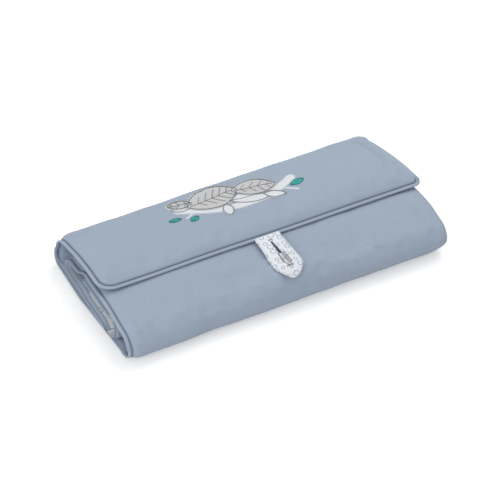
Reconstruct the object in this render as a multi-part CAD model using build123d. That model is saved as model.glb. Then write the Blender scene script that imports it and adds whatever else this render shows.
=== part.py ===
from build123d import *
import math
import os

# Padded changing mat, rolled up for travel and closed with a flap and a tape loop.
# X runs along the roll, +Y to its back and +Z up. The origin is on the floor, under the
# middle of the roll. Sizes are in millimetres.
# The mat is one long padded strip: outer cloth, wadding and lining. From its flap it
# runs over two bends down the back, along the bottom, up the front fold, back along the
# upper panel, round the rear turn, and in two shorter layers inside.

# Overall sizes
mat_width = 400.0          # along X
folded_depth = 200.0       # along Y
flap_reach = 125.0         # from the back face to the flap's front edge
inner_reach = 100.0        # flat length of the innermost layer

# The padded strip
strip_thick = 9.0
cloth_thick = 1.0          # outer cloth and lining alike
cloth_gap = 0.1            # between the cloth and the wadding
rim_width = 5.0            # flat stitched rim along the strip's edges
rim_thick = 5.0
layer_gap = 0.3            # between layers that lie on each other
nose_gap = 6.1             # between the two inner layers, inside the front turn
nose_setback = 8.0         # from the front fold's centre back to the front turn's
back_gap = 3.0             # between the rear turn and the back panel
back_bend_radius = 7.0     # inside radius of the two bends behind

# The flap
flap_shift = 6.0           # how far the flap lies to the right of the body
flap_corner = 20.0

# The tape loop and its button
tape_thick = 1.6
loop_x = 3.0
loop_width = 32.0
loop_swell = 1.5           # how much further out each leg is at the button
loop_length = 68.5         # from the flap's front edge to the tip
loop_bend_end = 8.0        # where the bending part ends, from the flap's front edge
loop_hinge_ahead = 2.0     # how far the crease is ahead of the flap's front edge
tip_length = 15.5
slit_narrow = 1.5
slit_wide = 7.0
button_radius = 10.0
button_thick = 3.0
button_reach = 41.0        # from the flap's front edge to the button's middle
button_clear = 0.5         # between the loop and what it lies on
thread_thick = 1.2
thread_hole = 1.6
thread_spread = 4.0        # from hole to hole

# Cloth patches sewn on the flap
patch_thick = 0.6
patch_gap = 0.3
branch_width = 13.0
twig_width = 3.0

# Levels of the layers
inner_lower_z = strip_thick + layer_gap
inner_upper_z = inner_lower_z + strip_thick + nose_gap
upper_z = inner_upper_z + strip_thick + layer_gap
upper_top = upper_z + strip_thick
flap_z = upper_top + layer_gap
flap_top = flap_z + strip_thick

# The folds' outer radii and centres
front_radius = upper_top / 2
front_y = front_radius - folded_depth / 2
rear_radius = (upper_top - inner_lower_z) / 2
rear_y = folded_depth / 2 - strip_thick - back_gap - rear_radius
rear_z = (upper_top + inner_lower_z) / 2
nose_radius = strip_thick + nose_gap / 2
nose_y = front_y + nose_setback
nose_z = inner_lower_z + nose_radius
bend_radius = back_bend_radius + strip_thick
bend_y = folded_depth / 2 - bend_radius
lower_bend_z = bend_radius
upper_bend_z = flap_top - bend_radius

body_x = -flap_shift / 2
flap_x = flap_shift / 2
flap_front = folded_depth / 2 - flap_reach
rim_low = (strip_thick - rim_thick) / 2

os.makedirs("parts", exist_ok=True)


def save(name, *solids):
    part = solids[0] if len(solids) == 1 else Compound(children=list(solids))
    export_step(part, f"parts/{name}.step")


def block(x0, x1, y0, y1, z0, z1):
    corner = Pos(x0, y0, z0)
    return corner * Box(x1 - x0, y1 - y0, z1 - z0, align=(Align.MIN, Align.MIN, Align.MIN))


# The strip's section. Local x runs across the mat, and local y goes in from the outer
# face, through the strip, to the lining's face.
def across(width, low, high):
    return Pos(0, (low + high) / 2) * Rectangle(width, high - low)


def strip_section(layer):
    inside = mat_width - 2 * (rim_width + cloth_thick)
    if layer == "wadding":
        wadding_low = cloth_thick + cloth_gap
        return across(inside - 2 * cloth_gap, wadding_low, strip_thick - wadding_low)
    middle = strip_thick / 2
    low, high = (0, middle) if layer == "outer_cloth" else (middle, strip_thick)
    padded = across(mat_width - 2 * rim_width, low, high)
    rim = across(mat_width, max(low, rim_low), min(high, strip_thick - rim_low))
    return padded + rim - across(inside, cloth_thick, strip_thick - cloth_thick)


def flat_layer(layer, y0, y1, outer_z, lining_side):
    # lining_side is 1 where the lining faces up, and -1 where it faces down
    plane = Plane((body_x, y0, outer_z), x_dir=(1, 0, 0), z_dir=(0, -lining_side, 0))
    return extrude(plane * strip_section(layer), amount=-lining_side * (y1 - y0))


def turned_layer(layer, x, y, z, radius, start, sweep):
    # the strip turns about a line along X at y, z. Angles go from +Y towards +Z
    c, s = math.cos(math.radians(start)), math.sin(math.radians(start))
    plane = Plane((x, y + radius * c, z + radius * s), x_dir=(1, 0, 0), z_dir=(0, s, -c))
    return revolve(plane * strip_section(layer), Axis((0, y, z), (1, 0, 0)), sweep)


def standing_layer(layer, z0, z1):
    plane = Plane((body_x, folded_depth / 2, z0), x_dir=(1, 0, 0), z_dir=(0, 0, -1))
    return extrude(plane * strip_section(layer), amount=-(z1 - z0))


# The flap is the strip's end, so its rim goes round the front and both sides.
def flap_plan(inset, z0, z1):
    y0, y1 = flap_front + inset, bend_y
    plan = Pos(flap_x, (y0 + y1) / 2) * Rectangle(mat_width - 2 * inset, y1 - y0)
    front = plan.vertices().sort_by(Axis.Y)[:2]
    plan = fillet(front, flap_corner - inset)
    return extrude(Pos(0, 0, z0) * plan, amount=z1 - z0)


def flap_layer(layer):
    inset = rim_width + cloth_thick
    if layer == "wadding":
        wadding_low = flap_z + cloth_thick + cloth_gap
        return flap_plan(inset + cloth_gap, wadding_low, flap_top - cloth_thick - cloth_gap)
    padded = flap_plan(rim_width, flap_z, flap_top)
    rim = flap_plan(0, flap_z + rim_low, flap_top - rim_low)
    cavity = flap_plan(inset, flap_z + cloth_thick, flap_top - cloth_thick)
    middle = flap_z + strip_thick / 2
    low, high = (middle, flap_top) if layer == "outer_cloth" else (flap_z, middle)
    half = block(-mat_width, mat_width, -folded_depth, folded_depth, low, high)
    return (padded + rim - cavity) & half


for layer in ("outer_cloth", "wadding", "lining"):
    save(f"bottom_{layer}", flat_layer(layer, front_y, bend_y, 0, 1))
    save(f"upper_{layer}", flat_layer(layer, front_y, rear_y, upper_top, -1))
    save(f"inner_lower_{layer}", flat_layer(layer, nose_y, rear_y, inner_lower_z, 1))
    inner_upper_end = nose_y + inner_reach
    inner_upper_top = inner_upper_z + strip_thick
    save(f"inner_upper_{layer}", flat_layer(layer, nose_y, inner_upper_end, inner_upper_top, -1))
    save(f"back_panel_{layer}", standing_layer(layer, lower_bend_z, upper_bend_z))
    save(f"flap_{layer}", flap_layer(layer))
    turns = (
        ("front_fold", body_x, front_y, front_radius, front_radius, 90, 180),
        ("rear_turn", body_x, rear_y, rear_z, rear_radius, -90, 180),
        ("front_turn", body_x, nose_y, nose_z, nose_radius, 90, 180),
        ("lower_back_bend", body_x, bend_y, lower_bend_z, bend_radius, -90, 90),
        ("upper_back_bend", flap_x, bend_y, upper_bend_z, bend_radius, 0, 90),
    )
    for name, *turn in turns:
        save(f"{name}_{layer}", turned_layer(layer, *turn))


# The button, sewn on the upper panel under the loop
button_y = flap_front - button_reach
button_top = upper_top + button_thick
hole_spots = [
    (loop_x + i * thread_spread / 2, button_y + j * thread_spread / 2)
    for i in (-1, 1)
    for j in (-1, 1)
]


def upright(x, y, radius, z0, z1):
    return Pos(x, y, (z0 + z1) / 2) * Cylinder(radius, z1 - z0)


def make_button():
    button = upright(loop_x, button_y, button_radius, upper_top, button_top)
    button = fillet(button.edges().filter_by(GeomType.CIRCLE), button_thick / 4)
    for x, y in hole_spots:
        button -= upright(x, y, thread_hole / 2, upper_top, button_top)
    return button


def make_thread():
    thread = [upright(x, y, thread_thick / 2, upper_top, button_top) for x, y in hole_spots]
    half = (thread_spread + thread_thick) / 2
    for x in (loop_x - thread_spread / 2, loop_x + thread_spread / 2):
        x0, x1 = x - thread_thick / 2, x + thread_thick / 2
        y0, y1 = button_y - half, button_y + half
        thread.append(block(x0, x1, y0, y1, button_top, button_top + thread_thick / 2))
    y0, y1 = button_y - thread_thick / 2, button_y + thread_thick / 2
    x0, x1 = loop_x - thread_spread / 2, loop_x + thread_spread / 2
    thread.append(block(x0, x1, y0, y1, button_top, button_top + thread_thick / 2))
    return thread[0].fuse(*thread[1:])


save("button", make_button())
save("button_thread", make_thread())


# The loop: a tape doubled back to a point, with a slit between its two legs. Its ends
# are sewn in above the flap's front rim, and it lies over the button.
rim_top = flap_top - rim_low
tape_z = rim_top + tape_thick / 2
rest_z = button_top + thread_thick / 2 + button_clear + tape_thick / 2
loop_bend_y = flap_front - loop_bend_end
legs_end = flap_front - loop_length + tip_length
button_side = button_y + button_radius + tape_thick
crease_y = flap_front - loop_hinge_ahead


def loop_profile():
    # seen along X: level over the rim, down to the button, then over the front fold
    spine = [
        (flap_front + rim_width, tape_z),
        (crease_y, tape_z),
        (button_side, rest_z),
        (front_y, rest_z),
    ]
    half = tape_thick / 2
    under = [(y, z - half) for y, z in spine]
    over = [(y, z + half) for y, z in reversed(spine)]
    run = Polygon(*under, *over, align=None)
    reach = rest_z - front_radius
    ring = Pos(front_y, front_radius) * (Circle(reach + half) - Circle(reach - half))
    quarter = Pos(front_y - reach, front_radius + reach) * Rectangle(2 * reach, 2 * reach)
    profile = Plane.YZ * (run + (ring & quarter))
    return extrude(profile, amount=2 * loop_width, both=True)


def loop_piece(*corners):
    plan = Polygon(*[(loop_x + x, y) for x, y in corners], align=None)
    return loop_profile() & extrude(plan, amount=2 * flap_top, both=True)


def loop_leg(side):
    outer, swollen = loop_width / 2, loop_width / 2 + loop_swell
    return loop_piece(
        (side * slit_narrow / 2, loop_bend_y),
        (side * outer, loop_bend_y),
        (side * swollen, button_y),
        (side * swollen, legs_end),
        (side * slit_wide / 2, legs_end),
    )


def loop_tip():
    swollen = loop_width / 2 + loop_swell
    tip_y = legs_end - tip_length
    bulge_x, bulge_y = swollen * 0.72, legs_end - tip_length * 0.58
    ends = [(loop_x - swollen, legs_end), (loop_x + swollen, legs_end)]
    left = ThreePointArc(ends[0], (loop_x - bulge_x, bulge_y), (loop_x, tip_y))
    right = ThreePointArc((loop_x, tip_y), (loop_x + bulge_x, bulge_y), ends[1])
    plan = make_face([*left.edges(), *right.edges(), *Line(ends[1], ends[0]).edges()])
    return loop_profile() & extrude(plan, amount=2 * flap_top, both=True)


def loop_strip(y0, y1):
    half = loop_width / 2
    return loop_piece((-half, y0), (half, y0), (half, y1), (-half, y1))


save("loop_sewn_end", loop_strip(flap_front, flap_front + rim_width))
save("loop_crease", loop_strip(loop_bend_y, flap_front))
save("loop_left_leg", loop_leg(-1))
save("loop_right_leg", loop_leg(1))
save("loop_tip", loop_tip())


# The patches on the flap: a branch and its twigs, with three sizes of leaf. A leaf is
# given by its middle, its turn from +X, its length and its width.
large_leaves = ((-24, 61, 4, 66, 42), (27, 56, -14, 54, 30), (-62, 69, 160, 30, 16))
pale_leaves = ((-18, 30, -100, 24, 13), (43, 32, -28, 28, 12))
small_leaves = ((-79, 44, -12, 16, 8), (-59, 34, 24, 13, 9), (76, 40, 12, 20, 11))
branch_run = ((-68, 59), (2, 31), (74, 52))
twig_runs = (((-54, 45), (-66, 40)), ((58, 37), (71, 26)))


def raised(sketch):
    return extrude(Pos(0, 0, flap_top) * sketch, amount=patch_thick)


def leaf(x, y, turn, length, width, grow=0.0):
    half, side = length / 2 + grow, width / 2 + grow
    upper = ThreePointArc((half, 0), (0, side), (-half, 0))
    lower = ThreePointArc((-half, 0), (0, -side), (half, 0))
    return Pos(x, y) * Rot(0, 0, turn) * make_face([*upper.edges(), *lower.edges()])


def branch_plan():
    (x0, y0), (x1, y1), (x2, y2) = branch_run
    band = trace(ThreePointArc((x0, y0), (x1, y1), (x2, y2)), branch_width)
    return band + Pos(x2, y2) * Circle(branch_width / 2)


def without(piece, shapes):
    for shape in shapes:
        piece -= shape
    return piece


def room_for(places):
    return [leaf(*place, grow=patch_gap) for place in places]


# The pale leaves lie whole, and each large leaf makes room for them and for the large
# leaves before it. The branch and its twigs show between all the leaves.
large = [
    without(leaf(*place), room_for(pale_leaves) + room_for(large_leaves[:n]))
    for n, place in enumerate(large_leaves)
]
all_leaves = room_for(large_leaves + pale_leaves + small_leaves)
branch = without(branch_plan(), all_leaves)
twigs = [
    without(trace(Line(*run), twig_width), [branch_plan(), *all_leaves]) for run in twig_runs
]
save("branch_patch", *raised(branch).solids())
save("twig_patches", *[raised(twig) for twig in twigs])
save("grey_leaf_patches", *[raised(piece) for piece in large])
save("pale_leaf_patches", *[raised(leaf(*place)) for place in pale_leaves])
save("green_leaf_patches", *[raised(leaf(*place)) for place in small_leaves])

# What the joints need: each back bend turns about a line in its own middle, placed so
# that the strip keeps its length when it lies flat.
hinge_in = math.pi / 4 * (back_bend_radius + strip_thick / 2)
print("lower bend turns at", round(bend_y + hinge_in, 3), round(lower_bend_z - hinge_in, 3))
print("upper bend turns at", round(bend_y + hinge_in, 3), round(upper_bend_z + hinge_in, 3))
print("loop turns at", round(crease_y, 3), round(tape_z, 3))
unrolled = (
    (bend_y - front_y) + (rear_y - front_y) + (rear_y - nose_y) + inner_reach
    + (bend_y - flap_front) + (upper_bend_z - lower_bend_z)
    + math.pi * (front_radius + rear_radius + nose_radius + bend_radius - 2 * strip_thick)
)
print("unrolled mat", mat_width, "x", round(unrolled))
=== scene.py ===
import math

import bmesh
import bpy
import numpy as np
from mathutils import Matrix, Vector
from mathutils.bvhtree import BVHTree
from mathutils.geometry import delaunay_2d_cdt as delaunay


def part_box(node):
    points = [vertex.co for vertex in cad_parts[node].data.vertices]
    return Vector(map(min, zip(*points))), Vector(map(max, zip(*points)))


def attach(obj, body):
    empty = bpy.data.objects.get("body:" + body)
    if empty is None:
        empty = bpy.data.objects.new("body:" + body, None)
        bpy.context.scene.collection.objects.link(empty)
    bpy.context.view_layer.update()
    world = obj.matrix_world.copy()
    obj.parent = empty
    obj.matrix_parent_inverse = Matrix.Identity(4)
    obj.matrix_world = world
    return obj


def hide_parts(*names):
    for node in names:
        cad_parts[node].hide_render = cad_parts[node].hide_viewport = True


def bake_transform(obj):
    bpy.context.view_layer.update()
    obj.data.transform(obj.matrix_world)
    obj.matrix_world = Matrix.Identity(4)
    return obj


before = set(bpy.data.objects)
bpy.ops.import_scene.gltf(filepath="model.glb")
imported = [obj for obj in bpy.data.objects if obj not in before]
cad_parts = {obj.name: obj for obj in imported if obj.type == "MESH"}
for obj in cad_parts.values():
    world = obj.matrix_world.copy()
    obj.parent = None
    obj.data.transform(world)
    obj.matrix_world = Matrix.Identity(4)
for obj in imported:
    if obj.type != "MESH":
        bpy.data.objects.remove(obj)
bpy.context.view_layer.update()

mm = 0.001

# Places and sizes from the frame, in millimetres


def low(node):
    return np.array(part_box(node)[0]) / mm


def high(node):
    return np.array(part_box(node)[1]) / mm


strip = {
    "thick": high("bottom_lining")[2] - low("bottom_outer_cloth")[2],
    "rim": 4.6,          # stitched rim along the edges
    "rimHalf": 1.1,      # half its thickness
    "grooveHalf": 0.55,  # half the thickness at the row of stitches
    "shoulder": 15.0,    # from the stitches to the full thickness
    "plainWidth": 15.0,  # rounding of an edge whose seam is rolled under
    "plainWidthInner": 8.0,
    "step": 3.2,         # size of the mesh along the strip
    "stepAcross": 3.8,
}
half = strip["thick"] / 2
frontY = low("bottom_outer_cloth")[1]
bendY = high("bottom_outer_cloth")[1]
rearY = high("upper_outer_cloth")[1]
noseY = low("inner_lower_outer_cloth")[1]
innerEndY = high("inner_upper_outer_cloth")[1]
upperTop = high("upper_outer_cloth")[2]
innerLowerZ = low("inner_lower_outer_cloth")[2]
innerUpperTop = high("inner_upper_outer_cloth")[2]
backY = high("back_panel_outer_cloth")[1]
wallLow = low("back_panel_outer_cloth")[2]
wallHigh = high("back_panel_outer_cloth")[2]
flapTop = high("flap_outer_cloth")[2]
flapFront = low("flap_outer_cloth")[1]
bodyLeft, bodyRight = low("bottom_outer_cloth")[0], high("bottom_outer_cloth")[0]
buttonMid = (low("button") + high("button")) / 2
buttonTop = high("button_thread")[2]


# Small helpers


def smooth(t):
    t = np.clip(t, 0, 1)
    return t * t * (3 - 2 * t)


def bell(t):
    return np.exp(-np.asarray(t) ** 2)


def ripples(x, y, seed, waves=7, size=90.0):
    # a sum of slow waves, about -1 to 1
    rng = np.random.default_rng(seed)
    total = np.zeros(np.broadcast(x, y).shape)
    for _ in range(waves):
        turn = rng.uniform(0, math.pi)
        length = size * rng.uniform(0.6, 1.9)
        phase = rng.uniform(0, 2 * math.pi)
        total = total + np.sin(
            2 * math.pi * (x * math.cos(turn) + y * math.sin(turn)) / length + phase
        )
    return total / math.sqrt(waves) * 0.75


def meshObject(name, points, faces, materials, uv=None, slots=None, sharp=()):
    mesh = bpy.data.meshes.new(name)
    mesh.from_pydata([tuple(p) for p in np.asarray(points) * mm], [], faces)
    if uv is not None:
        layer = mesh.uv_layers.new(name="cloth")
        loops = np.zeros(len(mesh.loops), np.int32)
        mesh.loops.foreach_get("vertex_index", loops)
        layer.data.foreach_set("uv", (np.asarray(uv)[loops] * mm).astype(np.float32).ravel())
    for material in materials:
        mesh.materials.append(material)
    if slots is not None:
        mesh.polygons.foreach_set("material_index", np.asarray(slots, np.int32))
    mesh.polygons.foreach_set("use_smooth", [True] * len(mesh.polygons))
    for face in sharp:
        mesh.polygons[face].use_smooth = False
    mesh.validate()
    mesh.update()
    piece = bpy.data.objects.new(name, mesh)
    bpy.context.scene.collection.objects.link(piece)
    return piece


# The strip's middle line, seen along X, as runs of (kind, values). It winds outwards
# from its inner end, and the outer cloth is always on its right.


def lineRun(y0, z0, y1, z1):
    return ("line", (y0, z0), (y1, z1))


def turnRun(y, z, radius, start, sweep):
    return ("turn", (y, z), (radius - half, start, sweep))


def middleLine(runs):
    points, tangents = [], []
    for kind, first, second in runs:
        if kind == "line":
            a, b = np.array(first, float), np.array(second, float)
            length = np.linalg.norm(b - a)
            n = max(1, round(length / strip["step"]))
            for i in range(n):
                points.append(a + (b - a) * i / n)
                tangents.append((b - a) / length)
            end, endTangent = b, (b - a) / length
        else:
            radius, start, sweep = second
            n = max(6, round(radius * math.radians(sweep) / (0.7 * strip["step"])))
            for i in range(n + 1):
                angle = math.radians(start + sweep * i / n)
                outward = np.array([math.cos(angle), math.sin(angle)])
                tangent = np.array([-outward[1], outward[0]])
                if i < n:
                    points.append(np.array(first) + radius * outward)
                    tangents.append(tangent)
                end, endTangent = np.array(first) + radius * outward, tangent
    points.append(end)
    tangents.append(endTangent)
    points, tangents = np.array(points), np.array(tangents)
    along = np.concatenate([[0], np.cumsum(np.linalg.norm(np.diff(points, axis=0), axis=1))])
    return points, tangents, along


def endSamples(length):
    # distances from a free edge: close together over the rim and its row of stitches
    near = [0, 0.3, 0.8, 1.5, 2.3, 3.2, 3.9, 4.3, 4.6, 5.0, 5.7, 6.8, 8.5, 10.5, 13, 16, 19.5]
    return [d for d in near if d < length / 2]


def puff(edge, full, plain, plainWidth):
    # half thickness at a distance from the free edge
    rim, rimHalf, groove = strip["rim"], strip["rimHalf"], strip["grooveHalf"]
    onRim = np.sqrt(np.clip(1 - ((edge - rim / 2) / (rim / 2)) ** 2, 0, 1))
    onRim = np.where(edge > rim / 2, np.maximum(onRim * rimHalf, groove), onRim * rimHalf)
    rise = np.clip((edge - rim) / strip["shoulder"], 0, 1)
    padded = groove + (full - groove) * (1 - (1 - rise) ** 2.6)
    stitched = np.where(edge < rim, onRim, padded)
    rolled = full * np.sqrt(1 - (1 - np.clip(edge / plainWidth, 0, 1)) ** 2.4)
    return stitched + (rolled - stitched) * plain


def roundCorner(a, b, radius):
    # a and b are the distances from two edges. The corner between them becomes an arc.
    u, v = radius - a, radius - b
    inside = (u > 0) & (v > 0)
    big, small = np.maximum(u, v), np.minimum(u, v)
    angle = math.pi / 4 * small / np.where(big > 0, big, 1)
    long, short = big * np.cos(angle), big * np.sin(angle)
    newU = np.where(u >= v, long, short)
    newV = np.where(u >= v, short, long)
    return np.where(inside, radius - newU, a), np.where(inside, radius - newV, b)


def stripGrid(runs, left, right, startFree, endFree, corners, innerRuns=()):
    # the strip's mesh as a grid of rows along it and columns across it
    points, tangents, along = middleLine(runs)
    length = along[-1]
    rows = list(along)
    free = endSamples(length)
    if startFree:
        rows = free + [s for s in rows if s > free[-1] + 2]
    if endFree:
        rows = [s for s in rows if s < length - free[-1] - 2] + [length - d for d in reversed(free)]
    if not startFree:      # a second row close to a cut keeps the shading even there
        rows = [rows[0], rows[0] + 0.12] + rows[1:]
    if not endFree:
        rows = rows[:-1] + [length - 0.12, length]
    rows = np.array(rows)
    width = bodyRight - bodyLeft
    side = endSamples(width)
    n = round((width - 2 * side[-1]) / strip["stepAcross"])
    middle = list(np.linspace(side[-1], width - side[-1], n + 1)[1:-1])
    columns = np.array(side + middle + [width - d for d in reversed(side)])
    s, c = np.meshgrid(rows, columns, indexing="ij")
    fromLeft, fromRight = c, width - c
    fromEnd = np.full(s.shape, 1e6)
    if startFree:
        fromEnd = np.minimum(fromEnd, s)
    if endFree:
        fromEnd = np.minimum(fromEnd, length - s)
    edge = np.minimum(np.minimum(fromLeft, fromRight), fromEnd)
    newLeft, endA = roundCorner(fromLeft, fromEnd, corners[0])
    newRight, endB = roundCorner(fromRight, fromEnd, corners[1])
    plain = smooth((np.minimum(fromLeft, fromEnd) - fromRight) / 7.0)
    plainWidth = np.full(s.shape, strip["plainWidth"])
    for first, last in innerRuns:      # the rolled layers are full right up to their edges
        within = smooth((s - first) / 22) * smooth((last - s) / 22)
        plain = np.maximum(plain, within)
        plainWidth += (strip["plainWidthInner"] - plainWidth) * within
    across = np.where(fromLeft < fromRight, newLeft, width - newRight)
    newEnd = np.where(fromLeft < fromRight, endA, endB)
    moved = np.where(newEnd < 1e5, newEnd - fromEnd, 0)
    sign = np.where(s < length / 2, 1, -1) if startFree else -1
    newS = s + sign * moved
    y = np.interp(newS, along, points[:, 0])
    z = np.interp(newS, along, points[:, 1])
    ty = np.interp(newS, along, tangents[:, 0])
    tz = np.interp(newS, along, tangents[:, 1])
    size = np.hypot(ty, tz)
    normal = np.stack([np.zeros(s.shape), tz / size, -ty / size], -1)
    x0 = np.interp(newS, along, left(along, points))
    x1 = np.interp(newS, along, right(along, points))
    x = x0 + (x1 - x0) * across / width
    return {
        "mid": np.stack([x, y, z], -1), "normal": normal, "edge": edge,
        "s": newS, "across": across, "plain": plain, "fromEnd": fromEnd,
        "plainWidth": plainWidth,
    }


def stripPiece(name, grid, outer, inner, startFree, endFree, base, wrap):
    # outer and inner are the two faces' points, which share the free edges' points
    rows, columns = grid["edge"].shape
    shared = np.zeros((rows, columns), bool)
    shared[:, 0] = shared[:, -1] = True
    if startFree:
        shared[0, :] = True
    if endFree:
        shared[-1, :] = True
    outerId = np.arange(rows * columns).reshape(rows, columns)
    innerId = np.where(shared, outerId, 0)
    own = ~shared
    innerId[own] = rows * columns + np.arange(own.sum())

    def both(values):
        flat = values.reshape(rows * columns, -1)
        return np.concatenate([flat, flat[own.ravel()]]).squeeze()

    points = np.concatenate([outer.reshape(-1, 3), inner[own]])
    edge = both(grid["edge"])
    faceRows, slots, sharp = [], [], []
    s = both(grid["s"])
    for i in range(rows - 1):
        for j in range(columns - 1):
            faceRows.append((outerId[i, j], outerId[i + 1, j], outerId[i + 1, j + 1], outerId[i, j + 1]))
            slots.append(0)
            under = (innerId[i, j], innerId[i, j + 1], innerId[i + 1, j + 1], innerId[i + 1, j])
            faceRows.append(under)
            # the lining side takes the darker outer cloth near an edge; where this reach is wide it is
            # painted shade in the gaps
            slots.append(0 if min(edge[n] for n in under) < wrap(s[under[0]]) else 1)
    for i, isFree in ((0, startFree), (rows - 1, endFree)):
        if isFree:
            continue
        for j in range(columns - 1):
            ring = [outerId[i, j], outerId[i, j + 1], innerId[i, j + 1], innerId[i, j]]
            ring = [n for k, n in enumerate(ring) if n != ring[k - 1]]
            faceRows.append(tuple(ring if i == 0 else ring[::-1]))
            slots.append(0)
            sharp.append(len(faceRows) - 1)
    uv = both(np.stack([grid["across"], grid["s"] + base], -1))
    piece = meshObject(name, points, faceRows, [outerCloth, liningCloth], uv, slots, sharp)
    facts = {
        "edge": edge, "s": s, "across": both(grid["across"]),
        "plain": both(grid["plain"]), "fromEnd": both(grid["fromEnd"]), "base": base,
        "outerId": outerId, "outward": np.concatenate([np.ones(rows * columns), -np.ones(own.sum())]),
        "startFree": startFree, "endFree": endFree,
    }
    # painted shade: the outer cloth darkens along its row of stitches, standing in for the shadow in the
    # seam's groove, with a little for the needle holes, and in a band just inside a rolled edge
    seam = bell((edge - strip["rim"] - 0.3) / 0.9) * (1 - facts["plain"])
    seam += 0.9 * bell((edge - 1.1) / 0.8) * facts["plain"]
    layer = piece.data.attributes.new("seam", "FLOAT", "POINT")
    layer.data.foreach_set("value", seam.astype(np.float32))
    return piece, facts


def readPoints(mesh):
    flat = np.zeros(len(mesh.vertices) * 3, np.float32)
    mesh.vertices.foreach_get("co", flat)
    return flat.reshape(-1, 3).astype(float) / mm


def readNormals(mesh):
    flat = np.zeros(len(mesh.vertices) * 3, np.float32)
    mesh.vertex_normals.foreach_get("vector", flat)
    return flat.reshape(-1, 3)


def writePoints(mesh, points):
    mesh.vertices.foreach_set("co", (points * mm).astype(np.float32).ravel())
    mesh.update()


cloth = {"frames": 20, "pressure": 3.5, "spare": 0.02, "tension": 18.0, "bending": 0.4, "cap": 1.6}


def relaxCloth(piece, pins, cap):
    # a short cloth simulation with pressure inside, held at the seams
    scene = bpy.context.scene
    mesh = piece.data
    before = readPoints(mesh)
    group = piece.vertex_groups.new(name="held")
    steps = np.round(np.clip(pins, 0, 1) * 20) / 20
    for value in np.unique(steps[steps > 0]):
        group.add(np.nonzero(steps == value)[0].tolist(), float(value), "REPLACE")
    modifier = piece.modifiers.new("cloth", "CLOTH")
    settings = modifier.settings
    settings.quality = 5
    settings.mass = 0.25
    settings.tension_stiffness = settings.compression_stiffness = cloth["tension"]
    settings.shear_stiffness = cloth["tension"] / 3
    settings.bending_stiffness = cloth["bending"]
    settings.use_pressure = True
    settings.uniform_pressure_force = cloth["pressure"]
    settings.shrink_min = -cloth["spare"]
    settings.vertex_group_mass = "held"
    settings.effector_weights.gravity = 0
    modifier.collision_settings.use_collision = False
    modifier.point_cache.frame_start = 1
    modifier.point_cache.frame_end = cloth["frames"]
    for frameNumber in range(1, cloth["frames"] + 1):
        scene.frame_set(frameNumber)
    evaluated = piece.evaluated_get(bpy.context.evaluated_depsgraph_get())
    after = readPoints(evaluated.data)
    piece.modifiers.remove(modifier)
    piece.vertex_groups.remove(group)
    scene.frame_set(1)
    move = np.nan_to_num(after - before)
    size = np.linalg.norm(move, axis=1)
    move *= (np.minimum(size, cap) / np.maximum(size, 1e-9) * (1 - np.clip(pins, 0, 1)))[:, None]
    writePoints(mesh, before + move)
    print(f"{piece.name}: cloth moved up to {size.max():.1f} mm, kept within {cap} mm")


wrinkles = {
    "pucker": 0.30,      # gathers beside the stitches
    "puckerPitch": 10.5,
    "slow": 0.55,        # height of the slow waves
    "dimple": 1.5,       # the cloth is drawn in at the button
    "creases": 16,       # short soft creases over the whole pad
    "pulls": (((0, -60), (-62, -57), 1.9), ((-4, -70), (-40, -82), 0.9), ((8, -66), (46, -75), 0.9),
              ((4, -52), (22, -36), 0.6)),      # creases that run to the button
}


def creaseDepth(u, v, start, end, width):
    # depth of a soft crease between two places, fading at its ends
    along = np.array(end, float) - start
    length = np.linalg.norm(along)
    along = along / length
    du, dv = u - start[0], v - start[1]
    t = (du * along[0] + dv * along[1]) / length
    side = dv * along[0] - du * along[1] - 0.1 * length * np.sin(math.pi * np.clip(t, 0, 1))
    fade = smooth(t / 0.3) * smooth((1 - t) / 0.5)
    return fade * (bell(side / width) - 0.45 * bell((side - 2.4 * width) / (1.4 * width)))


def wrinkle(piece, facts):
    mesh = piece.data
    points = readPoints(mesh)
    normals = readNormals(mesh).astype(float)
    s, across, edge = facts["s"] + facts["base"], facts["across"], facts["edge"]
    run = np.where(facts["fromEnd"] <= edge + 0.01, across, s)
    phase = 2.2 * ripples(run, run * 0, 31, size=60.0)
    near = bell((edge - strip["rim"] - 4.2) / 3.6) * (0.6 + 0.4 * ripples(run, run * 0, 5, size=45.0))
    depth = wrinkles["pucker"] * near * np.sin(2 * math.pi * run / wrinkles["puckerPitch"] + phase)
    depth += wrinkles["slow"] * ripples(across, s, 12, waves=9, size=62.0) * smooth((edge - 4) / 22)
    rng = np.random.default_rng(8)
    width = bodyRight - bodyLeft
    for _ in range(wrinkles["creases"]):
        side = rng.choice((rng.uniform(10, 70), width - rng.uniform(10, 70), rng.uniform(60, 330)))
        start = np.array([side, rng.uniform(250, 900)])
        turn = rng.uniform(0, 2 * math.pi)
        length = rng.uniform(28, 62)
        end = start + length * np.array([math.cos(turn), 0.6 * math.sin(turn)])
        sharpness = rng.uniform(2.2, 4.0)
        size = rng.uniform(0.4, 0.9)
        depth -= size * creaseDepth(across, s, start, end, sharpness) * smooth((edge - 5) / 8)
    if piece.name == "rolledBody":
        onTop = (points[:, 2] > upperTop - 8) & (s > 300)
        away = np.hypot(points[:, 0] - buttonMid[0], points[:, 1] - buttonMid[1])
        pull = wrinkles["dimple"] * bell(away / 12)
        for first, last, size in wrinkles["pulls"]:
            pull = pull + size * creaseDepth(points[:, 0], points[:, 1], first, last, 2.4)
        depth -= np.where(onTop, pull, 0)
    for atCut, place in ((not facts["startFree"], 0), (not facts["endFree"], facts["s"].max())):
        if atCut:
            depth = depth * smooth(np.abs(facts["s"] - place) / 14)
    writePoints(mesh, points + normals * depth[:, None])


# Materials


def shaderGroup(name, inputs, outputs):
    group = bpy.data.node_groups.new(name, "ShaderNodeTree")
    for label, kind, value in inputs:
        socket = group.interface.new_socket(label, in_out="INPUT", socket_type=kind)
        if value is not None:
            socket.default_value = value
    for label, kind in outputs:
        group.interface.new_socket(label, in_out="OUTPUT", socket_type=kind)
    start = group.nodes.new("NodeGroupInput")
    end = group.nodes.new("NodeGroupOutput")
    return group, start, end


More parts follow.
